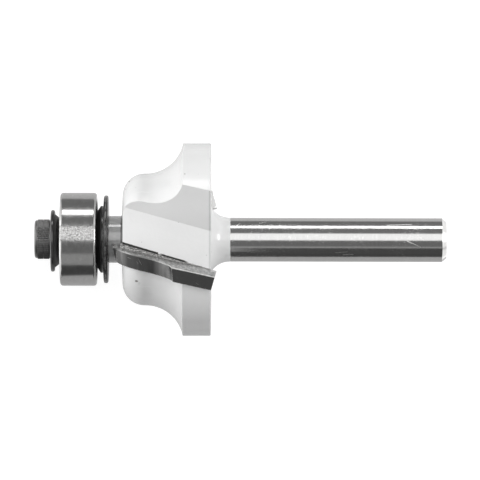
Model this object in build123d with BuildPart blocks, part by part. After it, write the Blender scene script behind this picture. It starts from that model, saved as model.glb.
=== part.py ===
from build123d import *
import math
import os

# Router bit with a Roman-ogee profile, two brazed carbide tips and a ball-bearing pilot.
#
# Bit coordinates (millimetres): x runs along the bit's axis from the flange's back face
# towards the shank, y is across the upper flute, z points out of the upper flute.
# BIT places those coordinates in the part's own frame, where the bit lies on the floor
# (z = 0) on one tip's corner, the front edge of one land and the rim of its bearing.

# ---- how the bit lies --------------------------------------------------------------
lie_tilt = -20.84738     # bearing end down, degrees
lie_roll = 17.74626      # upper flute turned away from straight up, degrees
lie_shift_x = -3.8349
lie_height = 13.12786    # height of the axis above the floor at x = 0

# ---- shank, neck and head (turned body) ---------------------------------------------
shank_radius = 3.0
shank_end = 32.1
shank_chamfer_length = 0.6
shank_end_radius = 2.5
neck_start_radius = 4.5
neck_length = 2.53
neck_arc_radius = 2.87
flange_radius = 13.14
flange_front = -3.86
cove_centre_x, cove_centre_r = -8.90, 14.19
bead_centre_x, bead_centre_r, bead_radius = -9.04, 6.0, 3.0
head_front = -12.04
collar_radius = 3.20
collar_front = -14.0
journal_radius = 2.38
journal_front = -20.35
tapped_radius = 1.50
tapped_bottom = -12.9

# ---- flutes --------------------------------------------------------------------------
floor_z, floor_slope = 7.30, 0.11                      # z = floor_z + floor_slope * x
wall_z, wall_slope_x, wall_slope_y = 6.42, 0.318, 0.765  # z = wall_z + ... x + ... y
rake_y, rake_slope_x, rake_slope_z = -3.19, -0.2275, -0.12  # y = rake_y + ... x + ... z
braze_y, braze_slope = -4.02, -0.293                   # upper edge of the braze on the floor

# ---- carbide tips ----------------------------------------------------------------------
tip_thickness = 2.05
cut_radius = 14.30
cut_small_radius = 6.35
cut_bead_radius = 3.975
tip_front, tip_flat_end = -13.32, -12.85
tip_cylinder_start = -5.24
tip_rear = 0.61
tip_inner_z, tip_inner_slope = 7.03, 0.273
clearance_direction = (0.08, -0.88, -0.47)

# ---- pilot bearing ---------------------------------------------------------------------
bearing_x = -18.05
bearing_half_width = 2.49
bearing_outer_radius = 6.35
outer_land_radius = 5.30
shield_seat_radius = 5.55
inner_land_radius = 3.30
inner_bore_radius = 2.40
pitch_radius = 4.366
ball_radius = 1.19
groove_radius = 1.23
ball_count = 7
cage_inner_radius, cage_outer_radius = 3.98, 4.78
pocket_radius = 1.25

# ---- washers and screw -----------------------------------------------------------------
rear_washer_radius = 5.99
rear_hub_radius = 4.56
rear_hub_face_radius = 3.86
washer_offset = 0.22
front_washer_radius = 4.21
front_hub_radius = 3.67
front_hub_face_radius = 3.10
front_washer_back = -21.295
front_washer_front = -21.83
screw_head_front = -24.04
screw_head_radius = 2.70
knurl_root_radius = 2.59
knurl_teeth = 56
screw_radius = 1.45
screw_end = -13.9
socket_across_flats = 2.5
socket_depth = 1.3

os.makedirs("parts", exist_ok=True)



def within(base, inner):
    """A plane given in the coordinates of the plane base."""
    return Plane(base.location * (inner.location if isinstance(inner, Plane) else inner))


LYING = within(Plane.XY.offset(lie_height), Location((lie_shift_x, 0, 0), (0, lie_tilt, 0)))
BIT = within(LYING, Location((0, 0, 0), (lie_roll, 0, 0)))
BIT_LOWER = within(BIT, Location((0, 0, 0), (180, 0, 0)))
AXIS = Axis(BIT.origin, BIT.x_dir)


def half_space(base, origin, normal):
    """A cutting plane given in bit coordinates."""
    return within(base, Plane(origin=origin, z_dir=normal))


# =========================================================================================
# Flute: what the milling cutter removes from the head, bounded by floor, wall and rake face
# =========================================================================================
def flute_space(base):
    with BuildPart(base) as flute:
        with Locations((-5.5, 4.0, 12.0)):
            Box(15.0, 34.0, 20.0)
        split(
            bisect_by=half_space(base, (0, 0, floor_z), (-floor_slope, 0, 1)),
            keep=Keep.TOP,
        )
        split(
            bisect_by=half_space(base, (0, 0, wall_z), (-wall_slope_x, -wall_slope_y, 1)),
            keep=Keep.TOP,
        )
        split(
            bisect_by=half_space(base, (0, rake_y, 0), (-rake_slope_x, 1, -rake_slope_z)),
            keep=Keep.TOP,
        )
    return flute.part


# =========================================================================================
# Carbide tip: a flat plate in the rake plane with the ground ogee profile on its outer edge
# =========================================================================================
def on_rake(x, radius):
    """Point of the rake plane at this x whose distance from the axis is radius."""
    y0 = rake_y + rake_slope_x * x
    a = 1 + rake_slope_z**2
    b = 2 * rake_slope_z * y0
    c = y0 * y0 - radius * radius
    z = (-b + math.sqrt(b * b - 4 * a * c)) / (2 * a)
    return (x, y0 + rake_slope_z * z, z)


def rake_inner(x, z):
    return (x, rake_y + rake_slope_x * x + rake_slope_z * z, z)


bead_x = tip_flat_end + cut_bead_radius
rise = cut_radius - cut_small_radius
cut_cove_radius = cut_bead_radius
for _ in range(20):
    cove_x = tip_cylinder_start - cut_cove_radius
    cut_cove_radius = math.hypot(bead_x - cove_x, rise) - cut_bead_radius
cove_x = tip_cylinder_start - cut_cove_radius
meet = math.atan2(bead_x - cove_x, rise)     # lean of the line through both arc centres


def bead_point(t):
    """t = 0 at the small flat, 1 where the two arcs meet."""
    a = math.pi - t * (math.pi / 2 - meet)
    return (bead_x + cut_bead_radius * math.cos(a), cut_small_radius + cut_bead_radius * math.sin(a))


def cove_point(t):
    """t = 0 where the two arcs meet, 1 at the cylindrical end."""
    a = -math.pi / 2 + meet + t * (math.pi / 2 - meet)
    return (cove_x + cut_cove_radius * math.cos(a), cut_radius + cut_cove_radius * math.sin(a))


def carbide_tip(base):
    vx, vy, vz = clearance_direction
    rake = within(
        base,
        Plane(origin=(0, rake_y, 0), x_dir=(1, rake_slope_x, 0), z_dir=(rake_slope_x, -1, rake_slope_z)),
    )

    def flat(point):
        local = rake.to_local_coords(base.from_local_coords(Vector(*point)))
        return (local.X, local.Y)

    steps = 10
    with BuildPart() as tip:
        with BuildSketch(rake):
            with BuildLine():
                p0 = flat(on_rake(tip_front - 1.2, cut_small_radius))
                p1 = flat(on_rake(*bead_point(0)))
                p2 = flat(on_rake(*bead_point(1)))
                p3 = flat(on_rake(*cove_point(1)))
                p4 = flat(on_rake(tip_rear + 1.2, cut_radius))
                q4 = flat(rake_inner(tip_rear + 1.2, tip_inner_z + tip_inner_slope * (tip_rear + 1.2) - 1.5))
                q0 = flat(rake_inner(tip_front - 1.2, tip_inner_z + tip_inner_slope * (tip_front - 1.2) - 1.5))
                Line(p0, p1)
                Spline([flat(on_rake(*bead_point(i / steps))) for i in range(steps + 1)])
                Spline([flat(on_rake(*cove_point(i / steps))) for i in range(steps + 1)])
                Line(p3, p4)
                Line(p4, q4)
                Line(q4, q0)
                Line(q0, p0)
            make_face()
        along = (base.from_local_coords(Vector(vx, vy, vz)) - base.origin).normalized()
        lean = abs(along.dot(rake.z_dir))
        extrude(amount=tip_thickness / lean, dir=along)
        # front end, ground back behind the cutting corner
        fx, fy, fz = on_rake(tip_front, cut_small_radius)
        split(bisect_by=half_space(base, (fx, fy, fz), (1, 0.24, 0)), keep=Keep.TOP)
        # rear end, square to the plate
        ex, ey, ez = on_rake(tip_rear, cut_radius)
        split(bisect_by=half_space(base, (ex, ey, ez), (-1, 0.28, 0)), keep=Keep.TOP)
        # inner edge, which stands on the bottom of its seat
        split(
            bisect_by=half_space(base, (0, 0, tip_inner_z), (-tip_inner_slope, 0, 1)),
            keep=Keep.TOP,
        )
    return tip


upper_flute = flute_space(BIT)
lower_flute = flute_space(BIT_LOWER)

carbide_tip_1 = carbide_tip(BIT)
carbide_tip_1.part.label = "carbide_tip_1"
export_step(carbide_tip_1.part, "parts/carbide_tip_1.step")

carbide_tip_2 = carbide_tip(BIT_LOWER)
carbide_tip_2.part.label = "carbide_tip_2"
export_step(carbide_tip_2.part, "parts/carbide_tip_2.step")


# =========================================================================================
# Braze: a sloping fillet of filler on the flute's floor along the root of the tip, with a
# fine open seam along its upper edge
# =========================================================================================
def floor_at(x):
    return floor_z + floor_slope * x


def braze_fillet(base):
    with BuildPart() as braze:
        for x, rim in ((-12.24, 0.42), (-0.35, 0.10)):
            z0 = floor_at(x) - 0.06
            y_top = braze_y + braze_slope * x
            y_root = rake_y + rake_slope_x * x + rake_slope_z * z0
            z1 = floor_at(x) + rim
            y_rim = rake_y + rake_slope_x * x + rake_slope_z * z1
            with BuildSketch(within(base, Plane(origin=(x, 0, 0), x_dir=(0, 1, 0), z_dir=(1, 0, 0)))):
                with BuildLine():
                    Polyline((y_top, z0), (y_root, z0), (y_rim, z1), (y_top, z0 + 0.09), close=True)
                make_face()
        loft(ruled=True)
    return braze.part


def braze_seam(base, x0, x1, width, depth):
    """Narrow slot along the upper edge of the braze."""
    xm = (x0 + x1) / 2
    length = math.hypot(x1 - x0, braze_slope * (x1 - x0))
    seam_plane = within(
        base,
        Plane(
            origin=(xm, braze_y + braze_slope * xm + 0.02, floor_at(xm)),
            x_dir=(1, braze_slope, floor_slope),
            z_dir=(-floor_slope, 0, 1),
        ),
    )
    with BuildPart(seam_plane) as seam:
        Box(length, width, 2 * depth)
    return seam.part


# =========================================================================================
# Cutter body: one turned and milled piece from shank end to bearing journal
# =========================================================================================
cove_radius = math.hypot(bead_centre_x - cove_centre_x, cove_centre_r - bead_centre_r) - bead_radius
lean_angle = math.atan2(cove_centre_x - bead_centre_x, cove_centre_r - bead_centre_r)
bead_top = (
    bead_centre_x + bead_radius * math.sin(lean_angle),
    bead_centre_r + bead_radius * math.cos(lean_angle),
)
cove_end_r = cove_centre_r - math.sqrt(cove_radius**2 - (flange_front - cove_centre_x) ** 2)


def arc_mid(centre, radius, start, end):
    """Middle point of the shorter arc between two points on a circle."""
    mx, my = (start[0] + end[0]) / 2 - centre[0], (start[1] + end[1]) / 2 - centre[1]
    n = math.hypot(mx, my)
    return (centre[0] + radius * mx / n, centre[1] + radius * my / n)


neck_centre = (neck_length, shank_radius + neck_arc_radius)
bead_start = (head_front, bead_centre_r)
cove_end = (flange_front, cove_end_r)

with BuildPart() as cutter_body:
    with BuildSketch(BIT) as turned:
        with BuildLine():
            Polyline(
                (journal_front, 0),
                (journal_front, journal_radius - 0.2),
                (journal_front + 0.2, journal_radius),
                (collar_front, journal_radius),
                (collar_front, collar_radius - 0.08),
                (collar_front + 0.08, collar_radius),
                (head_front - 0.22, collar_radius),
            )
            ThreePointArc(
                (head_front - 0.22, collar_radius),
                (head_front - 0.22 + 0.22 * math.sin(math.pi / 4), collar_radius + 0.22 * (1 - math.cos(math.pi / 4))),
                (head_front, collar_radius + 0.22),
            )
            Line((head_front, collar_radius + 0.22), bead_start)
            ThreePointArc(
                bead_start,
                arc_mid((bead_centre_x, bead_centre_r), bead_radius, bead_start, bead_top),
                bead_top,
            )
            ThreePointArc(
                bead_top,
                arc_mid((cove_centre_x, cove_centre_r), cove_radius, bead_top, cove_end),
                cove_end,
            )
            Polyline(
                cove_end,
                (flange_front, flange_radius - 0.06),
                (flange_front + 0.06, flange_radius),
                (-0.10, flange_radius),
                (0, flange_radius - 0.10),
                (0, neck_start_radius),
            )
            ThreePointArc(
                (0, neck_start_radius),
                arc_mid(neck_centre, neck_arc_radius, (0, neck_start_radius), (neck_length, shank_radius)),
                (neck_length, shank_radius),
            )
            Polyline(
                (neck_length, shank_radius),
                (shank_end - shank_chamfer_length, shank_radius),
                (shank_end, shank_end_radius),
                (shank_end, 0),
                (journal_front, 0),
            )
        make_face()
    revolve(axis=AXIS)
    # flutes
    add(upper_flute, mode=Mode.SUBTRACT)
    add(lower_flute, mode=Mode.SUBTRACT)
    # braze fillets, then the seats that the tips stand in
    add(braze_fillet(BIT))
    add(braze_fillet(BIT_LOWER))
    for base in (BIT, BIT_LOWER):
        add(braze_seam(base, -12.5, -7.15, 0.16, 0.16), mode=Mode.SUBTRACT)
        add(braze_seam(base, -6.85, -3.1, 0.11, 0.12), mode=Mode.SUBTRACT)
    add(carbide_tip_1.part, mode=Mode.SUBTRACT)
    add(carbide_tip_2.part, mode=Mode.SUBTRACT)
    # tapped hole for the pilot's screw, with a drill-point bottom and a chamfered mouth
    with BuildSketch(BIT):
        with BuildLine():
            Polyline(
                (journal_front - 1, 0),
                (journal_front - 1, tapped_radius + 0.3),
                (journal_front, tapped_radius + 0.3),
                (journal_front + 0.3, tapped_radius),
                (tapped_bottom, tapped_radius),
                (tapped_bottom + 0.85, 0),
                close=True,
            )
        make_face()
    revolve(axis=AXIS, mode=Mode.SUBTRACT)
cutter_body.part.label = "cutter_body"
export_step(cutter_body.part, "parts/cutter_body.step")


# =========================================================================================
# Pilot bearing
# =========================================================================================
MID = within(BIT, Location((bearing_x, 0, 0)))
w = bearing_half_width

with BuildPart() as bearing_outer_ring:
    with BuildSketch(MID):
        with BuildLine():
            Polyline(
                (-w, shield_seat_radius + 0.08),
                (-w, bearing_outer_radius),
                (w, bearing_outer_radius),
                (w, shield_seat_radius + 0.08),
                (w - 0.08, shield_seat_radius),
                (2.31, shield_seat_radius),
                (2.31, shield_seat_radius + 0.13),
                (1.97, shield_seat_radius + 0.13),
                (1.97, shield_seat_radius),
                (1.74, shield_seat_radius),
                (1.74, outer_land_radius),
                (-1.74, outer_land_radius),
                (-1.74, shield_seat_radius),
                (-1.97, shield_seat_radius),
                (-1.97, shield_seat_radius + 0.13),
                (-2.31, shield_seat_radius + 0.13),
                (-2.31, shield_seat_radius),
                (-w + 0.08, shield_seat_radius),
                close=True,
            )
        ring_face = make_face()
        fillet(ring_face.vertices().sort_by(Axis(MID.origin, MID.y_dir))[-2:], radius=0.40)
        with Locations((0, pitch_radius)):
            Circle(groove_radius, mode=Mode.SUBTRACT)
    revolve(axis=AXIS)
bearing_outer_ring.part.label = "bearing_outer_ring"
export_step(bearing_outer_ring.part, "parts/bearing_outer_ring.step")

with BuildPart() as bearing_inner_ring:
    with BuildSketch(MID):
        with BuildLine():
            Polyline(
                (-w, inner_bore_radius + 0.15),
                (-w, inner_land_radius - 0.10),
                (-w + 0.10, inner_land_radius),
                (w - 0.10, inner_land_radius),
                (w, inner_land_radius - 0.10),
                (w, inner_bore_radius + 0.15),
                (w - 0.15, inner_bore_radius),
                (-w + 0.15, inner_bore_radius),
                close=True,
            )
        make_face()
        with Locations((0, pitch_radius)):
            Circle(groove_radius, mode=Mode.SUBTRACT)
    revolve(axis=AXIS)
bearing_inner_ring.part.label = "bearing_inner_ring"
export_step(bearing_inner_ring.part, "parts/bearing_inner_ring.step")

ball_angles = [90 + i * 360 / ball_count for i in range(ball_count)]
ball_places = [
    within(
        MID,
        Location(
            (0, pitch_radius * math.cos(math.radians(a)), pitch_radius * math.sin(math.radians(a)))
        ),
    )
    for a in ball_angles
]

# crown cage: a thin ring behind the balls with snap-in prongs between them
with BuildPart() as bearing_cage:
    with BuildSketch(MID):
        with BuildLine():
            Polyline(
                (-1.52, cage_inner_radius + 0.08),
                (-1.52, cage_outer_radius - 0.08),
                (-1.44, cage_outer_radius),
                (0.50, cage_outer_radius),
                (0.62, cage_outer_radius - 0.15),
                (0.62, cage_inner_radius + 0.15),
                (0.50, cage_inner_radius),
                (-1.44, cage_inner_radius),
                close=True,
            )
        make_face()
    revolve(axis=AXIS)
    for angle in ball_angles:
        pocket = within(
            MID,
            Plane(
                origin=(0, 0, 0),
                x_dir=(1, 0, 0),
                z_dir=(0, math.cos(math.radians(angle)), math.sin(math.radians(angle))),
            ),
        )
        with BuildSketch(pocket.offset(cage_inner_radius - 1)):
            Circle(pocket_radius)
        extrude(amount=cage_outer_radius - cage_inner_radius + 2, mode=Mode.SUBTRACT)
bearing_cage.part.label = "bearing_cage"
export_step(bearing_cage.part, "parts/bearing_cage.step")

for number, place in enumerate(ball_places, start=1):
    with BuildPart(place) as bearing_ball:
        Sphere(ball_radius)
    bearing_ball.part.label = f"bearing_ball_{number}"
    export_step(bearing_ball.part, f"parts/bearing_ball_{number}.step")

for name, side in (("front", -1), ("rear", 1)):
    # pressed shield, seated in the outer ring and clear of the inner one
    with BuildPart() as bearing_shield:
        with BuildSketch(MID):
            with BuildLine():
                Polyline(
                    (side * 1.75, shield_seat_radius - 0.02),
                    (side * 1.95, shield_seat_radius - 0.02),
                    (side * 1.95, 5.06),
                    (side * 2.19, 4.78),
                    (side * 2.19, 3.52),
                    (side * 1.99, 3.52),
                    (side * 1.99, 4.70),
                    (side * 1.75, 4.98),
                    close=True,
                )
            make_face()
        revolve(axis=AXIS)
    bearing_shield.part.label = f"bearing_shield_{name}"
    export_step(bearing_shield.part, f"parts/bearing_shield_{name}.step")

    # open wire ring that holds the shield in its groove
    with BuildPart() as shield_snap_ring:
        with BuildSketch(MID):
            with Locations((side * 2.14, shield_seat_radius - 0.05)):
                Circle(0.14)
        revolve(axis=AXIS, revolution_arc=335)
    shield_snap_ring.part.label = f"shield_snap_ring_{name}"
    export_step(shield_snap_ring.part, f"parts/shield_snap_ring_{name}.step")


# =========================================================================================
# Washers
# =========================================================================================
bearing_back = bearing_x + bearing_half_width
bearing_front = bearing_x - bearing_half_width

with BuildPart() as rear_washer:
    with BuildSketch(BIT):
        with BuildLine():
            Polyline(
                (bearing_back, journal_radius + 0.04),
                (bearing_back, rear_hub_face_radius - 0.06),
                (bearing_back + 0.06, rear_hub_face_radius),
                (-15.02, rear_hub_radius),
                (-14.60, rear_hub_radius),
                (-14.60, rear_washer_radius - 0.20),
                (-14.52, rear_washer_radius - 0.05),
                (-14.38, rear_washer_radius),
                (-14.18, rear_washer_radius),
                (-14.06, rear_washer_radius - 0.06),
                (collar_front, rear_washer_radius - 0.20),
                (collar_front, journal_radius + 0.04),
                close=True,
            )
        make_face()
    revolve(axis=AXIS)
rear_washer.part.label = "rear_washer"
export_step(rear_washer.part, "parts/rear_washer.step")

WASHER = within(BIT, Location((0, -washer_offset, 0)))
with BuildPart() as front_washer:
    with BuildSketch(WASHER):
        with BuildLine():
            Polyline(
                (bearing_front, 1.72),
                (bearing_front, front_hub_face_radius - 0.06),
                (bearing_front - 0.06, front_hub_face_radius),
                (front_washer_back, front_hub_radius),
                (front_washer_back, front_washer_radius - 0.18),
                (front_washer_back - 0.07, front_washer_radius - 0.05),
                (front_washer_back - 0.18, front_washer_radius),
                (front_washer_front + 0.18, front_washer_radius),
                (front_washer_front + 0.07, front_washer_radius - 0.05),
                (front_washer_front, front_washer_radius - 0.18),
                (front_washer_front, 1.72),
                close=True,
            )
        make_face()
    revolve(axis=Axis(WASHER.origin, WASHER.x_dir))
front_washer.part.label = "front_washer"
export_step(front_washer.part, "parts/front_washer.step")

# =========================================================================================
# Cap screw: knurled head in two bands with a plain ring between, hexagon socket
# =========================================================================================
with BuildPart() as cap_screw:
    with BuildSketch(BIT):
        with BuildLine():
            Polyline(
                (screw_head_front, 0),
                (screw_head_front, knurl_root_radius - 0.24),
                (screw_head_front + 0.07, knurl_root_radius - 0.08),
                (screw_head_front + 0.24, knurl_root_radius),
                (front_washer_front - 0.10, knurl_root_radius),
                (front_washer_front, knurl_root_radius - 0.10),
                (front_washer_front, screw_radius),
                (screw_end - 0.30, screw_radius),
                (screw_end, screw_radius - 0.30),
                (screw_end, 0),
                close=True,
            )
        make_face()
    revolve(axis=AXIS)
    for band_start, band_end in ((-23.62, -22.86), (-22.80, -22.06)):
        with BuildSketch(within(BIT, Plane(origin=(band_start, 0, 0), x_dir=(0, 1, 0), z_dir=(1, 0, 0)))):
            with BuildLine():
                Polyline(
                    *[
                        (
                            (screw_head_radius if i % 2 else knurl_root_radius - 0.01)
                            * math.cos(math.pi * i / knurl_teeth),
                            (screw_head_radius if i % 2 else knurl_root_radius - 0.01)
                            * math.sin(math.pi * i / knurl_teeth),
                        )
                        for i in range(2 * knurl_teeth)
                    ],
                    close=True,
                )
            make_face()
        extrude(amount=band_end - band_start)
    with BuildSketch(within(BIT, Plane(origin=(screw_head_front, 0, 0), x_dir=(0, 1, 0), z_dir=(1, 0, 0)))):
        RegularPolygon(radius=socket_across_flats / 2, side_count=6, major_radius=False)
    extrude(amount=socket_depth, mode=Mode.SUBTRACT)
cap_screw.part.label = "cap_screw"
export_step(cap_screw.part, "parts/cap_screw.step")
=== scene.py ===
import math

import bpy
from mathutils import Matrix, Vector

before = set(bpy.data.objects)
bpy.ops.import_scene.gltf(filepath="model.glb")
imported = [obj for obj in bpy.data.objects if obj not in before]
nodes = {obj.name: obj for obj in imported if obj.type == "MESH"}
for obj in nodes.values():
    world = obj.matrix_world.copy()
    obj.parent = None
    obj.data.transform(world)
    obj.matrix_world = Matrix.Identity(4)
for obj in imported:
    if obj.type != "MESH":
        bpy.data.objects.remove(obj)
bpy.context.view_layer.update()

# ---------------------------------------------------------------------------------------
# How the bit lies: bit coordinates (mm) are u along the axis towards the shank, h across
# the upper flute and d out of it. They are the ones that the CAD model is drawn in.
# ---------------------------------------------------------------------------------------
TILT, ROLL = math.radians(-20.84738), math.radians(17.74626)
ORIGIN = Vector((-3.8349, 0.0, 13.12786))
TURN = Matrix.Rotation(TILT, 3, "Y") @ Matrix.Rotation(ROLL, 3, "X")
U_DIR, H_DIR, D_DIR = TURN.col[0].copy(), TURN.col[1].copy(), TURN.col[2].copy()


def place(u, h, d):
    """A point in bit coordinates as a point of the scene, in metres."""
    return (ORIGIN + TURN @ Vector((u, h, d))) / 1000.0


# ---------------------------------------------------------------------------------------
# A small writer for node trees
# ---------------------------------------------------------------------------------------
class Tree:
    def __init__(self, tree):
        self.tree = tree
        tree.nodes.clear()

    def add(self, kind, **settings):
        node = self.tree.nodes.new(kind)
        for key, value in settings.items():
            setattr(node, key, value)
        return node

    def put(self, value, socket):
        if isinstance(value, bpy.types.NodeSocket):
            self.tree.links.new(value, socket)
        elif value is not None:
            if socket.type == "RGBA" and not hasattr(value, "__len__"):
                value = (value, value, value, 1.0)
            elif socket.type == "RGBA" and len(value) == 3:
                value = (*value, 1.0)
            socket.default_value = value

    def math(self, op, a, b=None, c=None, clamp=False):
        node = self.add("ShaderNodeMath", operation=op, use_clamp=clamp)
        for value, socket in zip((a, b, c), node.inputs):
            self.put(value, socket)
        return node.outputs[0]

    def plus(self, *values):
        total = values[0]
        for v in values[1:]:
            total = self.math("ADD", total, v)
        return total

    def times(self, *values):
        total = values[0]
        for v in values[1:]:
            total = self.math("MULTIPLY", total, v)
        return total

    def line(self, constant, *terms):
        """constant + sum of (factor, value)."""
        total = constant
        for factor, value in terms:
            total = self.math("MULTIPLY_ADD", value, factor, total)
        return total

    def step(self, value, low, high, out_low=0.0, out_high=1.0):
        """Smooth step from out_low at low to out_high at high."""
        node = self.add("ShaderNodeMapRange", interpolation_type="SMOOTHSTEP")
        for v, socket in zip((value, low, high, out_low, out_high), node.inputs):
            self.put(v, socket)
        return node.outputs[0]

    def band(self, value, start, end, soft):
        """1 between start and end, 0 outside."""
        return self.times(
            self.step(value, start - soft, start + soft),
            self.step(value, end - soft, end + soft, 1.0, 0.0),
        )

    def dot(self, vector, direction, scale=1.0):
        node = self.add("ShaderNodeVectorMath", operation="DOT_PRODUCT")
        self.put(vector, node.inputs[0])
        node.inputs[1].default_value = [scale * x for x in direction]
        return node.outputs["Value"]

    def vector(self, x, y, z):
        node = self.add("ShaderNodeCombineXYZ")
        for v, socket in zip((x, y, z), node.inputs):
            self.put(v, socket)
        return node.outputs[0]

    def noise(self, vector, scale, detail=3.0, rough=0.55, kind="FBM"):
        node = self.add("ShaderNodeTexNoise", noise_dimensions="3D")
        self.put(vector, node.inputs["Vector"])
        node.inputs["Scale"].default_value = scale
        node.inputs["Detail"].default_value = detail
        node.inputs["Roughness"].default_value = rough
        return node.outputs[0]

    def cells(self, vector, scale, out="Distance", feature="F1", random=1.0):
        node = self.add("ShaderNodeTexVoronoi", feature=feature)
        self.put(vector, node.inputs["Vector"])
        node.inputs["Scale"].default_value = scale
        node.inputs["Randomness"].default_value = random
        return node.outputs[out]

    def mix(self, fac, a, b):
        """Colour a at 0, b at 1."""
        node = self.add("ShaderNodeMix", data_type="RGBA")
        self.put(fac, node.inputs[0])
        self.put(a, node.inputs[6])
        self.put(b, node.inputs[7])
        return node.outputs[2]

    def blend(self, fac, a, b):
        """Number a at 0, b at 1."""
        node = self.add("ShaderNodeMix", data_type="FLOAT")
        self.put(fac, node.inputs[0])
        self.put(a, node.inputs[2])
        self.put(b, node.inputs[3])
        return node.outputs[0]

    def grey(self, value, tint=(1.0, 1.0, 1.0)):
        """A number as a grey colour, tinted."""
        node = self.add("ShaderNodeCombineColor")
        for k in range(3):
            self.put(self.math("MULTIPLY", value, tint[k]), node.inputs[k])
        return node.outputs[0]

    def bump(self, height, distance_mm, strength=1.0, normal=None):
        node = self.add("ShaderNodeBump")
        self.put(height, node.inputs["Height"])
        node.inputs["Distance"].default_value = distance_mm / 1000.0
        node.inputs["Strength"].default_value = strength
        if normal is not None:
            self.put(normal, node.inputs["Normal"])
        return node.outputs[0]

    def soft_edge(self, radius_mm):
        node = self.add("ShaderNodeBevel", samples=6)
        node.inputs["Radius"].default_value = radius_mm / 1000.0
        return node.outputs[0]

    def edge_wear(self, radius_mm, low, high):
        """1 on sharp edges, 0 on faces, from how far the rounded normal leans."""
        rounded = self.soft_edge(radius_mm)
        true = self.add("ShaderNodeNewGeometry").outputs["Normal"]
        node = self.add("ShaderNodeVectorMath", operation="DOT_PRODUCT")
        self.put(rounded, node.inputs[0])
        self.put(true, node.inputs[1])
        return self.step(node.outputs["Value"], high, low)


def bit_space(t):
    """Sockets for the bit coordinates of the shaded point, in mm."""
    here = t.add("ShaderNodeTexCoord").outputs["Object"]
    u = t.line(-ORIGIN.dot(U_DIR), (1.0, t.dot(here, U_DIR, 1000.0)))
    h = t.line(-ORIGIN.dot(H_DIR), (1.0, t.dot(here, H_DIR, 1000.0)))
    d = t.line(-ORIGIN.dot(D_DIR), (1.0, t.dot(here, D_DIR, 1000.0)))
    r = t.math("SQRT", t.plus(t.times(h, h), t.times(d, d)))
    return {
        "u": u,
        "h": h,
        "d": d,
        "r": r,
        "p": t.vector(u, h, d),
        # the unit vector out from the axis: a seamless stand-in for the angle
        "ch": t.math("DIVIDE", h, t.math("MAXIMUM", r, 0.01)),
        "cd": t.math("DIVIDE", d, t.math("MAXIMUM", r, 0.01)),
    }


def surface(t, colour, metallic, roughness, normal=None, **fixed):
    shader = t.add("ShaderNodeBsdfPrincipled")
    t.put(colour, shader.inputs["Base Color"])
    t.put(metallic, shader.inputs["Metallic"])
    t.put(roughness, shader.inputs["Roughness"])
    if normal is not None:
        t.put(normal, shader.inputs["Normal"])
    for key, value in fixed.items():
        shader.inputs[key.replace("_", " ")].default_value = value
    out = t.add("ShaderNodeOutputMaterial")
    t.tree.links.new(shader.outputs[0], out.inputs["Surface"])
    return shader


def scored(t, b, u0, h0, u1, h1, width, waver=0.07):
    """1 on a fine scratch from (u0, h0) to (u1, h1) on the side that faces out of the flute."""
    du, dh = u1 - u0, h1 - h0
    size = math.hypot(du, dh)
    along = t.line(-(u0 * du + h0 * dh) / size, (du / size, b["u"]), (dh / size, b["h"]))
    across = t.line((u0 * dh - h0 * du) / size, (-dh / size, b["u"]), (du / size, b["h"]))
    across = t.line(0.0, (1.0, across), (waver, t.math("SUBTRACT", t.noise(b["p"], 0.7, 3.0), 0.5)))
    return t.times(
        t.step(t.math("ABSOLUTE", across), width * 0.5, width, 1.0, 0.0),
        t.band(along, 0.0, size, 0.12),
        t.step(b["d"], 0.0, 0.1),
    )


def material(name):
    m = bpy.data.materials.new(name)
    m.use_nodes = True
    return m, Tree(m.node_tree)


def dress(m, *names):
    for name in names:
        slots = nodes[name].data.materials
        slots.clear()
        slots.append(m)


def turning(t, b, along=30.0, round_=0.6, detail=4.0):
    """Fine grooves round the axis, as grinding and turning leave: quick change along u,
    slow change round the axis."""
    v = t.vector(
        t.times(b["u"], along), t.times(b["ch"], b["r"], round_), t.times(b["cd"], b["r"], round_)
    )
    return t.noise(v, 1.0, detail, 0.6)


# ---------------------------------------------------------------------------------------
# Cutter body: white sprayed head, ground steel shank, collar and journal, silver braze
# ---------------------------------------------------------------------------------------
BODY_PAINT = (0.896, 0.898, 0.896)
TABLE_GLOW = 0.885

m, t = material("painted_head_and_ground_steel")
b = bit_space(t)
u, h, d, r = b["u"], b["h"], b["d"], b["r"]
side = t.math("SIGN", d)
hs, ds = t.times(h, side), t.times(d, side)   # both flutes share one set of masks

wobble = t.noise(b["p"], 1.9, 3.0)
paint_edge = t.line(0.0, (0.16, t.math("SUBTRACT", wobble, 0.5)))
painted = t.times(
    t.step(t.plus(u, paint_edge), -12.12, -12.06),
    t.step(t.plus(u, paint_edge), 2.60, 2.70, 1.0, 0.0),
)

# braze: between its ragged upper edge on the floor and the rake face
ragged = t.math("SUBTRACT", t.noise(b["p"], 3.1, 4.0, 0.65), 0.5)
upper_edge = t.line(-4.02, (-0.293, u), (0.22, ragged))
rake_line = t.line(-3.22, (-0.2275, u), (-0.12, ds))
floor_line = t.line(7.30 - 0.10, (0.11, u))
below_edge = t.math("SUBTRACT", upper_edge, hs)
brazed = t.times(
    t.step(below_edge, -0.02, 0.03),
    t.step(t.math("SUBTRACT", hs, rake_line), -0.01, 0.01),
    t.step(t.math("SUBTRACT", ds, floor_line), -0.01, 0.01),
)
from_seam = t.math("ABSOLUTE", t.line(4.0, (0.293, u), (1.0, hs)))
near_floor = t.step(t.math("SUBTRACT", ds, floor_line), -0.25, -0.12)
# the dark seam along the braze: a dark joint, and painted shade in the gap between the gullet floor and the tip
seam_shade = t.times(
    t.plus(
        t.times(t.step(t.line(0.0, (1.0, from_seam), (0.16, ragged)), 0.12, 0.18, 1.0, 0.0), t.band(u, -12.0, -7.10, 0.08)),
        t.times(t.step(t.line(0.0, (1.0, from_seam), (0.16, ragged)), 0.10, 0.15, 1.0, 0.0), t.band(u, -6.75, -3.3, 0.35)),
    ),
    near_floor,
)
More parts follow.
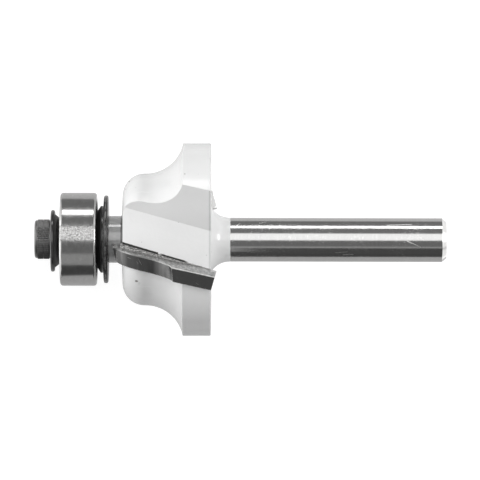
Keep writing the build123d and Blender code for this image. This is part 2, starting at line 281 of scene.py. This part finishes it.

# white paint: faint unevenness, painted shade in the waist of the profile, small chips and specks
cloud = t.noise(b["p"], 0.45, 2.0)
fine = t.noise(b["p"], 5.0, 4.0, 0.6)
on_wall = t.step(t.math("ABSOLUTE", t.line(-6.42, (1.0, ds), (-0.318, u), (-0.765, hs))), 0.03, 0.06, 1.0, 0.0)
on_floor = t.step(t.math("ABSOLUTE", t.line(-7.30, (1.0, ds), (-0.11, u))), 0.03, 0.06, 1.0, 0.0)
in_flute = t.math("MAXIMUM", on_wall, on_floor)
# painted shade: a little grey all round the waist of the profile, outside the flutes
painted_waist_shade = t.times(t.band(u, -9.9, -8.2, 0.9), t.math("SUBTRACT", 1.0, in_flute))
paint_value = t.line(0.955, (0.05, cloud), (0.03, fine), (-0.075, painted_waist_shade))
paint = t.mix(paint_value, (0.0, 0.0, 0.0), BODY_PAINT)
speck = t.times(
    t.step(t.cells(b["p"], 1.15), 0.035, 0.075, 1.0, 0.0),
    t.step(t.noise(b["p"], 0.8, 1.0), 0.56, 0.60),
)


def spot(cu, ch, cd, radius, soft=0.35, stretch=(1.0, 1.0, 1.0)):
    """1 inside an uneven spot round the point (cu, ch, cd)."""
    du = t.times(t.math("SUBTRACT", u, cu), stretch[0])
    dh = t.times(t.math("SUBTRACT", h, ch), stretch[1])
    dd = t.times(t.math("SUBTRACT", d, cd), stretch[2])
    far = t.math("SQRT", t.plus(t.times(du, du), t.times(dh, dh), t.times(dd, dd)))
    far = t.line(0.0, (1.0, far), (radius * 0.9, t.math("SUBTRACT", fine, 0.5)))
    return t.step(far, radius * (1 - soft), radius * (1 + soft), 1.0, 0.0)


chip = spot(-10.05, -5.66, 6.85, 0.17, stretch=(0.75, 1.25, 0.6))
crater = spot(-9.66, -5.92, 6.55, 0.20, stretch=(1.0, 0.8, 0.6))
dots = t.plus(
    spot(-11.12, 7.86, 2.0, 0.075, stretch=(1, 1, 0.05)),
    spot(-11.67, 6.82, 2.0, 0.07, stretch=(1, 1, 0.05)),
    spot(-3.48, 8.83, 9.0, 0.075, stretch=(1, 1, 0.05)),
    spot(0.34, 4.24, 6.0, 0.07, stretch=(1, 1, 0.05)),
)
dots = t.times(dots, t.step(d, 0.0, 0.1))
marks = t.math("MINIMUM", t.plus(chip, dots, t.times(speck, 0.8)), 1.0)
paint = t.mix(t.times(marks, 0.86), paint, (0.16, 0.15, 0.14))
paint = t.mix(t.times(crater, 0.35), paint, (0.60, 0.60, 0.61))

# ground steel
grind = turning(t, b, 34.0, 0.5)
grind_wide = turning(t, b, 5.0, 0.25, 3.0)
stain = t.noise(b["p"], 0.7, 3.0)
grit = t.times(
    t.step(t.noise(t.vector(t.times(u, 0.8), h, d), 6.5, 2.0, 0.6), 0.57, 0.63),
    t.step(t.noise(b["p"], 0.32, 2.0), 0.49, 0.58),
)
scratch = t.math("MINIMUM", t.plus(
    scored(t, b, 26.6, -0.10, 28.6, -1.00, 0.05),
    scored(t, b, 28.1, 0.62, 29.0, -0.05, 0.05),
    scored(t, b, 16.9, -1.75, 18.6, -1.62, 0.03),
    scored(t, b, 17.9, -2.05, 19.4, -1.95, 0.03),
    scored(t, b, 23.9, 1.98, 27.4, 2.12, 0.04),
    scored(t, b, 3.3, 1.75, 4.0, 2.25, 0.05),
    scored(t, b, 6.6, 2.20, 7.6, 2.45, 0.04),
), 1.0)
pit = t.times(
    t.step(t.cells(b["p"], 1.9), 0.03, 0.07, 1.0, 0.0),
    t.step(t.noise(b["p"], 0.5, 1.0), 0.57, 0.61),
)
steel_value = t.line(0.55, (0.10, grind), (0.06, grind_wide), (-0.05, stain))
# painted highlight: the shank's end chamfer gets a much lighter steel, so that it shows white
chamfer_highlight = t.step(u, 31.44, 31.52)
steel_value = t.blend(chamfer_highlight, t.line(0.0, (1.0, steel_value), (0.22, scratch), (0.10, grit)), t.line(0.90, (0.08, grind)))
steel = t.grey(t.math("MAXIMUM", t.line(0.0, (1.0, steel_value), (-0.25, pit)), 0.05), (1.0, 0.995, 0.985))
steel_rough = t.line(0.09, (0.07, grind), (0.04, stain), (0.25, scratch), (0.2, pit), (0.10, grit))

# silver braze: lumpy, mottled with flux and heat tint
lump = t.noise(t.vector(t.times(u, 0.8), hs, ds), 5.5, 4.0, 0.62)
tick = t.step(t.noise(t.vector(t.times(u, 2.6), hs, ds), 1.0, 2.0), 0.60, 0.66)
braze_colour = t.mix(t.step(lump, 0.38, 0.62), (0.13, 0.13, 0.128), (0.52, 0.515, 0.505))
braze_colour = t.mix(t.times(tick, 0.5), braze_colour, (0.12, 0.12, 0.115))
braze_rough = t.line(0.34, (0.25, fine))

metal_mask = t.math("MAXIMUM", t.math("SUBTRACT", 1.0, painted), brazed)
collar = t.band(u, -14.1, -12.06, 0.02)
steel = t.mix(t.times(collar, 0.80), steel, t.grey(t.line(0.58, (0.10, grind_wide), (0.06, stain))))
# painted shade: a dark ring on the last of the collar, at its root against the head
steel = t.mix(t.times(collar, t.step(u, -12.36, -12.22)), steel, (0.10, 0.10, 0.10))
colour = t.mix(painted, steel, paint)
# painted shade: dark lines for the shaded front edge of the flute's floor and the flange's rear edge in the flutes
front_edge_shade = t.times(t.step(u, -11.95, -11.89, 1.0, 0.0), painted, t.step(t.math("ABSOLUTE", t.math("SUBTRACT", ds, t.line(7.30, (0.11, u)))), 0.05, 0.10, 1.0, 0.0))
rear_edge_shade = t.times(t.band(t.line(0.0, (1.0, u), (0.05, ragged)), -0.24, -0.03, 0.03), in_flute)
colour = t.mix(t.times(front_edge_shade, 0.75), colour, (0.16, 0.16, 0.16))
colour = t.mix(t.times(rear_edge_shade, 0.30), colour, (0.25, 0.25, 0.25))
colour = t.mix(brazed, colour, braze_colour)
# painted shade: the braze seam is nearly black
colour = t.mix(t.times(seam_shade, 0.96), colour, (0.02, 0.018, 0.016))
rough = t.blend(painted, steel_rough, t.line(0.13, (0.06, fine)))
rough = t.blend(collar, rough, t.line(0.52, (0.08, grind)))
rough = t.blend(brazed, rough, braze_rough)
rough = t.blend(seam_shade, rough, 0.7)
metallic = t.times(metal_mask, t.math("SUBTRACT", 1.0, seam_shade), t.line(1.0, (-0.86, collar)))

# relief: orange peel in the paint, grooves in the steel, lumps in the braze
peel = t.noise(b["p"], 1.6, 2.0)
height = t.blend(painted, t.line(0.0, (0.07, grind), (0.05, grit)), t.line(0.0, (1.0, peel), (0.16, fine), (-2.2, chip), (-1.3, crater), (-0.8, dots)))
height = t.blend(brazed, height, t.line(0.0, (3.2, lump), (0.8, fine)))
height = t.plus(height, t.times(scratch, -0.20))
normal = t.bump(height, 0.020, 1.0, t.soft_edge(0.07))
shader = surface(t, colour, metallic, rough, normal, IOR=1.5, Coat_Roughness=0.05, Coat_IOR=1.85)
t.put(collar, shader.inputs["Coat Weight"])
dress(m, "cutter_body")

# ---------------------------------------------------------------------------------------
# Carbide tips: dark ground carbide, finely lapped rake face, bright worn edges with a painted highlight on the cutting
# edge, painted reflection along the relief
# ---------------------------------------------------------------------------------------
m, t = material("ground_carbide")
b = bit_space(t)
u, h, d = b["u"], b["h"], b["d"]
side = t.math("SIGN", d)
hs, ds = t.times(h, side), t.times(d, side)
below_rake = t.line(-3.19, (-1.0, hs), (-0.2275, u), (-0.12, ds))   # mm under the rake plane
on_rake = t.step(t.math("ABSOLUTE", below_rake), 0.02, 0.05, 1.0, 0.0)
grain = t.noise(b["p"], 14.0, 3.0)
fine = t.noise(b["p"], 5.0, 4.0, 0.6)
# grinding lines follow the relief's direction
lines = t.noise(t.vector(t.times(u, 13.0), t.times(hs, 1.0), t.times(ds, 1.6)), 1.0, 3.0, 0.6)
mottle = t.noise(b["p"], 1.5, 4.0, 0.65)
# lapping marks along the rake face, and a few cross scores
streaks = t.noise(t.vector(t.times(u, 1.9), 0.0, t.times(ds, 0.48)), 1.0, 3.0, 0.8)
score = t.step(t.noise(t.vector(t.times(u, 2.3), t.times(hs, 0.2), t.times(ds, 0.25)), 1.0, 3.0, 0.75), 0.60, 0.66)
cuts = t.plus(
    t.step(t.math("ABSOLUTE", t.line(6.95, (1.0, u), (0.10, fine))), 0.03, 0.10, 1.0, 0.0),
    t.step(t.math("ABSOLUTE", t.line(5.28, (1.0, u), (0.10, fine))), 0.02, 0.07, 1.0, 0.0),
    t.step(t.math("ABSOLUTE", t.line(3.12, (1.0, u), (0.10, fine))), 0.02, 0.07, 1.0, 0.0),
)
nicks = t.step(t.noise(b["p"], 2.4, 3.0), 0.40, 0.60)
# tone gains along the profile: painted reflection and shade on the relief, partly how bright the wheel left it
grind_and_reflection_gain = 0.65
last = -12.86
for at, gain in (
    (-12.76, 2.6), (-12.4, 2.1), (-11.75, 0.75), (-11.1, 0.38), (-10.2, 0.42), (-9.4, 0.85), (-8.6, 0.80),
    (-7.8, 0.34), (-7.2, 0.58), (-6.7, 0.95), (-6.15, 1.75), (-5.6, 2.1), (-5.3, 0.8),
):
    grind_and_reflection_gain = t.blend(t.step(u, last, at), grind_and_reflection_gain, gain)
    last = at
relief_value = t.times(t.line(0.115, (0.05, lines), (0.02, grain), (0.03, mottle)), grind_and_reflection_gain)
rake_value = t.line(0.11, (0.31, t.step(streaks, 0.41, 0.59)), (0.10, mottle), (-0.08, score))
rake_value = t.blend(t.math("MINIMUM", cuts, 1.0), rake_value, 0.10)
value = t.blend(on_rake, relief_value, rake_value)
# the land behind the cutting edge: partly wear, partly painted highlight, lighter and less metallic
land = t.times(t.step(below_rake, 0.17, 0.25, 1.0, 0.0), t.math("SUBTRACT", 1.0, on_rake))
edge = t.times(t.edge_wear(0.11, 0.90, 0.985), t.step(u, -12.8, -12.5, 0.08, 1.0))
flat_edge_highlight = t.step(u, -5.9, -5.5)              # painted highlight: the straight part of the edge is made lighter
wear_and_edge_highlight = t.math("MAXIMUM", t.times(edge, t.line(0.45, (0.35, nicks))), t.times(land, t.line(0.55, (0.25, nicks), (0.20, flat_edge_highlight))))
value = t.blend(wear_and_edge_highlight, value, t.blend(flat_edge_highlight, 0.42, 0.95))
scr = t.times(
    t.step(t.math("ABSOLUTE", t.math("SUBTRACT", t.noise(t.vector(t.times(u, 1.2), t.times(hs, 0.7), t.times(ds, 0.7)), 1.0, 1.0), 0.5)), 0.0015, 0.005, 1.0, 0.0),
    t.step(t.noise(b["p"], 0.6, 1.0), 0.60, 0.66),
)
handled = t.plus(
    scored(t, b, -11.15, -2.42, -10.75, -2.60, 0.07),
    scored(t, b, -9.75, -2.60, -9.30, -3.40, 0.06),
    scored(t, b, -9.95, -2.95, -9.80, -3.30, 0.06),
    scored(t, b, -1.95, -5.80, -1.60, -6.05, 0.06),
)
value = t.line(0.0, (1.0, value), (0.10, scr), (0.13, handled))
rough = t.blend(on_rake, t.line(0.16, (0.08, lines), (0.3, handled)), t.line(0.22, (0.14, mottle)))
rough = t.blend(land, rough, 0.32)
# the inner edge and the rear end are a lighter grey and partly non-metallic
inside = t.math("MAXIMUM", t.step(t.line(-7.03, (1.0, ds), (-0.273, u)), 0.25, 0.35, 1.0, 0.0), t.times(t.step(u, 0.0, 0.05), t.step(ds, 9.0, 9.6, 1.0, 0.0)))
light_rear_and_inner_edge = t.times(t.math("MAXIMUM", t.times(inside, t.step(u, -1.6, -1.2)), t.step(u, 0.50, 0.58)), t.line(0.85, (0.15, fine)))
colour = t.mix(light_rear_and_inner_edge, t.grey(value, (1.0, 0.995, 0.985)), (0.68, 0.68, 0.675))
near_edge = t.step(below_rake, 0.30, 0.42, 1.0, 0.0)
soft = t.add("ShaderNodeMix", data_type="VECTOR")
t.put(near_edge, soft.inputs[0])
t.put(t.soft_edge(0.05), soft.inputs[4])
t.put(t.soft_edge(0.42), soft.inputs[5])
height = t.blend(on_rake, t.line(0.0, (1.0, lines), (0.3, grain)), t.line(0.0, (3.0, streaks), (0.5, grain)))
normal = t.bump(height, 0.0022, 1.0, soft.outputs[1])
surface(t, colour, t.line(1.0, (-0.40, light_rear_and_inner_edge), (-0.55, t.band(u, -12.81, -11.95, 0.10)), (-0.85, t.times(land, flat_edge_highlight, t.math("SUBTRACT", 1.0, light_rear_and_inner_edge)))), rough, normal)
dress(m, "carbide_tip_1", "carbide_tip_2")


# ---------------------------------------------------------------------------------------
# Bearing rings, shields, snap rings, balls and cage
# ---------------------------------------------------------------------------------------
def ring_steel(name, base, spread, rough, along, bump_mm, edge_radius, blotch=0.0, edge_gain=0.0, speckle=0.0):
    m, t = material(name)
    b = bit_space(t)
    turned = turning(t, b, along, 0.55)
    wide = turning(t, b, along * 0.12, 0.35, 3.0)
    mottle = t.noise(b["p"], 1.2, 4.0, 0.62)
    fine = t.noise(b["p"], 7.0, 3.0)
    value = t.line(base - spread * 0.5, (spread, turned), (blotch, t.math("SUBTRACT", mottle, 0.5)))
    scr = t.times(
        t.step(t.math("ABSOLUTE", t.math("SUBTRACT", t.noise(b["p"], 0.9, 1.0), 0.5)), 0.002, 0.006, 1.0, 0.0),
        t.step(t.noise(b["p"], 0.7, 1.0), 0.58, 0.64),
    )
    value = t.line(0.0, (1.0, value), (base * 0.35, scr))
    if speckle:
        spots = t.noise(b["p"], 5.6, 2.0, 0.7)
        # painted mottling and shade on a reflection, partly scuffing: the band that catches the bright panel, on the
        # side facing out of the upper flute, gets stronger speckle and is darkened
        scuff_and_reflection_band = t.times(t.band(t.line(0.0, (1.0, b["h"]), (0.5, t.math("SUBTRACT", mottle, 0.5))), -0.3, 1.95, 0.12), t.step(b["d"], 0.0, 0.5))
        value = t.line(0.0, (1.0, value), (t.line(0.16, (speckle, scuff_and_reflection_band)), t.math("SUBTRACT", spots, 0.5)), (-0.13, scuff_and_reflection_band))
    if edge_gain:
        value = t.line(0.0, (1.0, value), (edge_gain, t.edge_wear(0.10, 0.86, 0.98)))
    roughness = t.line(rough, (0.10, turned), (0.10, t.math("SUBTRACT", mottle, 0.5)), (0.05, wide))
    height = t.line(0.0, (1.0, turned), (0.8, wide), (0.5, fine))
    normal = t.bump(height, bump_mm, 1.0, t.soft_edge(edge_radius))
    surface(t, t.grey(t.math("MAXIMUM", value, 0.02), (1.0, 0.995, 0.985)), 1.0, roughness, normal)
    return m


dress(ring_steel("ground_bearing_race", 0.53, 0.06, 0.10, 9.0, 0.0011, 0.06, 0.10, speckle=0.75), "bearing_outer_ring")
dress(ring_steel("ground_inner_race", 0.55, 0.08, 0.20, 12.0, 0.0020, 0.05, 0.06), "bearing_inner_ring")
dress(ring_steel("pressed_shield", 0.46, 0.10, 0.26, 7.0, 0.0030, 0.05, 0.10), "bearing_shield_front", "bearing_shield_rear")
dress(ring_steel("spring_wire", 0.40, 0.06, 0.24, 6.0, 0.0020, 0.02, 0.08), "shield_snap_ring_front", "shield_snap_ring_rear")
dress(ring_steel("stainless_cage", 0.42, 0.08, 0.30, 8.0, 0.0030, 0.04, 0.10), "bearing_cage")

m, t = material("polished_ball")
b = bit_space(t)
haze = t.noise(b["p"], 3.0, 3.0)
value = t.line(0.60, (0.06, haze))
surface(t, t.grey(value, (1.0, 0.995, 0.985)), 1.0, t.line(0.05, (0.05, haze)), t.bump(haze, 0.0006))
dress(m, *[f"bearing_ball_{i}" for i in range(1, 8)])


# ---------------------------------------------------------------------------------------
# Black-oxide washers and the cap screw
# ---------------------------------------------------------------------------------------
def black_oxide(name, base, rough, along, bump_mm, edge_radius, wear_and_glint, metallic, ior=1.5, lip=None, lines=(), matt=None):
    m, t = material(name)
    b = bit_space(t)
    turned = turning(t, b, along, 0.4)
    wide = turning(t, b, along * 0.2, 0.3, 2.0)
    mottle = t.noise(b["p"], 1.6, 4.0, 0.6)
    fine = t.noise(b["p"], 9.0, 3.0)
    value = t.line(base * 0.55, (base * 0.6, turned), (base * 0.5, t.math("SUBTRACT", mottle, 0.3)))
    rubbed_and_glint = t.times(t.edge_wear(0.07, 0.86, 0.97), t.step(t.plus(mottle, t.times(fine, 0.3)), 0.52, 0.74))
    # painted highlight: a lighter, metallic band on the head's rear lip, kept to where the bright panel reflects
    if lip:
        rubbed_and_glint = t.math("MAXIMUM", rubbed_and_glint, t.times(t.band(b["u"], lip[0], lip[1], 0.03), t.band(b["h"], -0.9, 1.3, 0.3)))
    rubbed_and_glint = t.times(rubbed_and_glint, wear_and_glint)
    value = t.blend(rubbed_and_glint, value, 0.42)
    dust = t.step(t.cells(b["p"], 2.2), 0.05, 0.10, 1.0, 0.0)
    value = t.line(0.0, (1.0, value), (0.10, dust))
    if lip:      # painted shade: the lower side of the head is darker
        value = t.times(value, t.step(b["h"], -1.3, -0.3, 0.42, 1.0))
    # lighter rings on the rim: partly turning marks, partly painted highlight
    for start, end, glow in lines:
        value = t.line(0.0, (1.0, value), (glow, t.times(t.band(b["u"], start, end, 0.03), t.step(mottle, 0.35, 0.60))))
    roughness = t.line(rough, (0.12, turned), (0.10, mottle))
    if matt:
        roughness = t.line(0.0, (1.0, roughness), (0.4, t.band(b["u"], matt[0], matt[1], 0.02)))
    height = t.line(0.0, (1.0, turned), (0.7, wide), (0.35, fine))
    normal = t.bump(height, bump_mm, 1.0, t.soft_edge(edge_radius))
    metal = t.blend(rubbed_and_glint, metallic, 1.0)
    surface(t, t.grey(value, (1.0, 0.99, 0.985)), metal, roughness, normal, IOR=ior)
    return m


dress(black_oxide("black_oxide_front_washer", 0.020, 0.08, 14.0, 0.0030, 0.10, 0.35, 0.0, 1.8), "front_washer")
# painted highlight rings on the rear washer's rim, as (start, end, gain) along u
rear_highlight_lines = ((-14.74, -14.62, 0.17), (-14.38, -14.24, 0.14))
dress(black_oxide("black_oxide_rear_washer", 0.020, 0.10, 14.0, 0.0030, 0.06, 0.35, 0.0, 1.6, lines=rear_highlight_lines, matt=(-15.6, -14.86)), "rear_washer")
dress(black_oxide("black_oxide_screw", 0.20, 0.28, 10.0, 0.0016, 0.05, 0.7, 0.8, lip=(-22.02, -21.84)), "cap_screw")

# ---------------------------------------------------------------------------------------
# Light: a white light tent with dark gaps between its panels, set round the bit's axis.
# psi is the angle round the axis, 0 out of the upper flute and 90 across it; xi is how far
# a direction leans along the axis.
# ---------------------------------------------------------------------------------------
RING = [
    (-180.0, 0.52), (-99.0, 0.075), (-67.0, 0.40), (-36.0, 0.19),
    (-3.0, 1.45), (33.0, 0.22), (114.5, 0.66), (150.0, 0.90),
]
BEARING_END = [
    (-180.0, 1.25), (-135.0, 1.35), (-99.0, 0.65), (-67.0, 0.40), (-36.0, 0.90), (0.0, 1.60),
    (33.0, 1.80), (62.0, 1.45), (80.0, 1.20), (116.0, 1.15), (150.0, 1.05),
]
SHANK_END = [
    (-180.0, 1.12), (-135.0, 0.82), (-99.0, 0.34), (-67.0, 0.34), (-36.0, 0.88), (0.0, 1.50),
    (33.0, 1.42), (62.0, 1.00), (80.0, 0.85), (116.0, 0.88), (150.0, 1.05),
]
TABLE_BEARING_END = [(-180.0, 1.30), (-30.0, 1.05)]


def panels(t, psi, stops, soft):
    value = stops[0][1]
    for start, glow in stops[1:]:
        value = t.blend(t.step(psi, start - soft, start + soft), value, glow)
    return value


def tent_light(t, psi, xi, bearing_end=BEARING_END):
    lean = t.math("ABSOLUTE", xi)
    ring = panels(t, psi, RING, 1.3)
    ends = t.blend(
        t.step(xi, -0.05, 0.05), panels(t, psi, bearing_end, 6.0), panels(t, psi, SHANK_END, 6.0)
    )
    light = t.blend(t.step(lean, 0.35, 0.55), ring, ends)
    tube = t.times(t.band(psi, 65.0, 76.5, 0.8), t.step(lean, 0.15, 0.20, 4.2, 0.0))
    end_card = t.step(xi, 0.90, 0.95, 0.0, 0.5)
    front_card = t.step(xi, -0.90, -0.80, 0.8, 0.0)
    return t.plus(light, tube, end_card, front_card)


def degrees(t, eta, zeta):
    return t.math("MULTIPLY", t.math("ARCTAN2", eta, zeta), 180.0 / math.pi)


def for_camera(t, others, camera_rays):
    """Shader camera_rays for what the camera sees directly, others for every other ray."""
    choose = t.add("ShaderNodeMixShader")
    t.tree.links.new(t.add("ShaderNodeLightPath").outputs["Is Camera Ray"], choose.inputs[0])
    t.tree.links.new(others, choose.inputs[1])
    t.tree.links.new(camera_rays, choose.inputs[2])
    return choose.outputs[0]


world = bpy.data.worlds.new("light_tent")
world.use_nodes = True
bpy.context.scene.world = world
t = Tree(world.node_tree)
ray = t.add("ShaderNodeTexCoord").outputs["Generated"]
xi, eta, zeta = t.dot(ray, U_DIR), t.dot(ray, H_DIR), t.dot(ray, D_DIR)
tent = t.add("ShaderNodeBackground")
t.put(t.grey(tent_light(t, degrees(t, eta, zeta), xi)), tent.inputs["Color"])
tent.inputs["Strength"].default_value = 1.0
white = t.add("ShaderNodeBackground")
t.put((1.0, 1.0, 1.0), white.inputs["Color"])
white.inputs["Strength"].default_value = 1.0
out = t.add("ShaderNodeOutputWorld")
t.tree.links.new(for_camera(t, tent.outputs[0], white.outputs[0]), out.inputs["Surface"])

# ---------------------------------------------------------------------------------------
# Table: a plain white top, lit well enough to read as white paper. The bit sees the tent's
# lower panels on it.
# ---------------------------------------------------------------------------------------
mesh = bpy.data.meshes.new("table_top")
half = 1.6
mesh.from_pydata([(-half, -half, 0), (half, -half, 0), (half, half, 0), (-half, half, 0)], [], [(0, 1, 2, 3)])
table = bpy.data.objects.new("table_top", mesh)
bpy.context.scene.collection.objects.link(table)

m, t = material("white_table")
b = bit_space(t)
paper = t.noise(b["p"], 0.06, 2.0)
diffuse = t.add("ShaderNodeBsdfDiffuse")
t.put(t.grey(t.line(0.29, (0.02, paper))), diffuse.inputs["Color"])
glow = t.add("ShaderNodeEmission")
t.put((1.0, 1.0, 1.0), glow.inputs["Color"])
glow.inputs["Strength"].default_value = TABLE_GLOW
seen = t.add("ShaderNodeAddShader")
t.tree.links.new(diffuse.outputs[0], seen.inputs[0])
t.tree.links.new(glow.outputs[0], seen.inputs[1])
past = t.math(
    "SUBTRACT",
    t.math("MAXIMUM", t.math("SUBTRACT", b["u"], 32.0), 0.0),
    t.math("MAXIMUM", t.math("SUBTRACT", -21.0, b["u"]), 0.0),
)
xi = t.math("DIVIDE", past, t.math("SQRT", t.plus(t.times(past, past), t.times(b["r"], b["r"]))))
lit = t.add("ShaderNodeEmission")
t.put((1.0, 1.0, 1.0), lit.inputs["Color"])
# the bearing is wider than the shank, so its lower dark band starts nearer to the bit
psi = degrees(t, b["h"], b["d"])
psi = t.line(0.0, (1.0, psi), (-9.5, t.times(t.step(b["u"], -14.0, -10.0, 1.0, 0.0), t.step(psi, -20.0, 0.0, 1.0, 0.0))))
t.put(tent_light(t, psi, xi, TABLE_BEARING_END), lit.inputs["Strength"])
out = t.add("ShaderNodeOutputMaterial")
t.tree.links.new(for_camera(t, lit.outputs[0], seen.outputs[0]), out.inputs["Surface"])
mesh.materials.append(m)

# Two cards beside the bit, out of the picture, that show only in its reflections: a dark flag
# that darkens one band on the shank, and a small lamp that puts the spot on the neck


def card(name, corners, glow):
    mesh = bpy.data.meshes.new(name)
    mesh.from_pydata([tuple(c) for c in corners], [], [(0, 1, 2, 3)])
    thing = bpy.data.objects.new(name, mesh)
    bpy.context.scene.collection.objects.link(thing)
    m, t = material(name + "_cloth")
    weave = t.noise(bit_space(t)["p"], 0.8, 2.0)
    cloth = t.add("ShaderNodeEmission")
    t.put((1.0, 1.0, 1.0), cloth.inputs["Color"])
    t.put(t.line(glow * 0.9, (glow * 0.2, weave)), cloth.inputs["Strength"])
    out = t.add("ShaderNodeOutputMaterial")
    t.tree.links.new(cloth.outputs[0], out.inputs["Surface"])
    mesh.materials.append(m)
    thing.visible_camera = False
    thing.visible_diffuse = False
    thing.visible_shadow = False


def toward(u, h, d, xi, psi, far):
    """The point far mm from (u, h, d) in the direction that leans xi along the axis."""
    out = math.sqrt(1.0 - xi * xi) * far
    return place(u + xi * far, h + out * math.sin(math.radians(psi)), d + out * math.cos(math.radians(psi)))


card("dark_flag", [
    place(u, 80.0 * math.sin(math.radians(a)), 80.0 * math.cos(math.radians(a)))
    for u, a in ((4.0, -43.5), (110.0, -43.5), (110.0, -78.0), (4.0, -78.0))
], 0.085)
card("spot_lamp", [
    toward(1.1, 0.34, 3.37, xi, psi, 80.0)
    for xi, psi in ((0.81, -4.0), (0.81, 36.0), (0.905, 41.0), (0.905, -8.0))
], 17.0)

# ---------------------------------------------------------------------------------------
# Camera: square to the bit's axis, 71 cm away
# ---------------------------------------------------------------------------------------
DISTANCE = 0.710
WIDTH = 0.06552                      # what the frame spans at the axis, in metres
camera_data = bpy.data.cameras.new("camera")
camera_data.sensor_width = 36.0
camera_data.lens = 36.0 * DISTANCE / WIDTH
camera_data.clip_start, camera_data.clip_end = 0.05, 10.0
camera = bpy.data.objects.new("camera", camera_data)
bpy.context.scene.collection.objects.link(camera)
roll = math.radians(0.13)            # the bit's shank end sits a little low in the picture
right = math.cos(roll) * U_DIR + math.sin(roll) * H_DIR
up = D_DIR.cross(right)
turn = Matrix((right, up, D_DIR)).transposed()
target = place(3.96, -0.051, 0.0)
camera.matrix_world = Matrix.Translation(target + D_DIR * DISTANCE) @ turn.to_4x4()
bpy.context.scene.camera = camera
bpy.context.scene.view_settings.view_transform = "Standard"
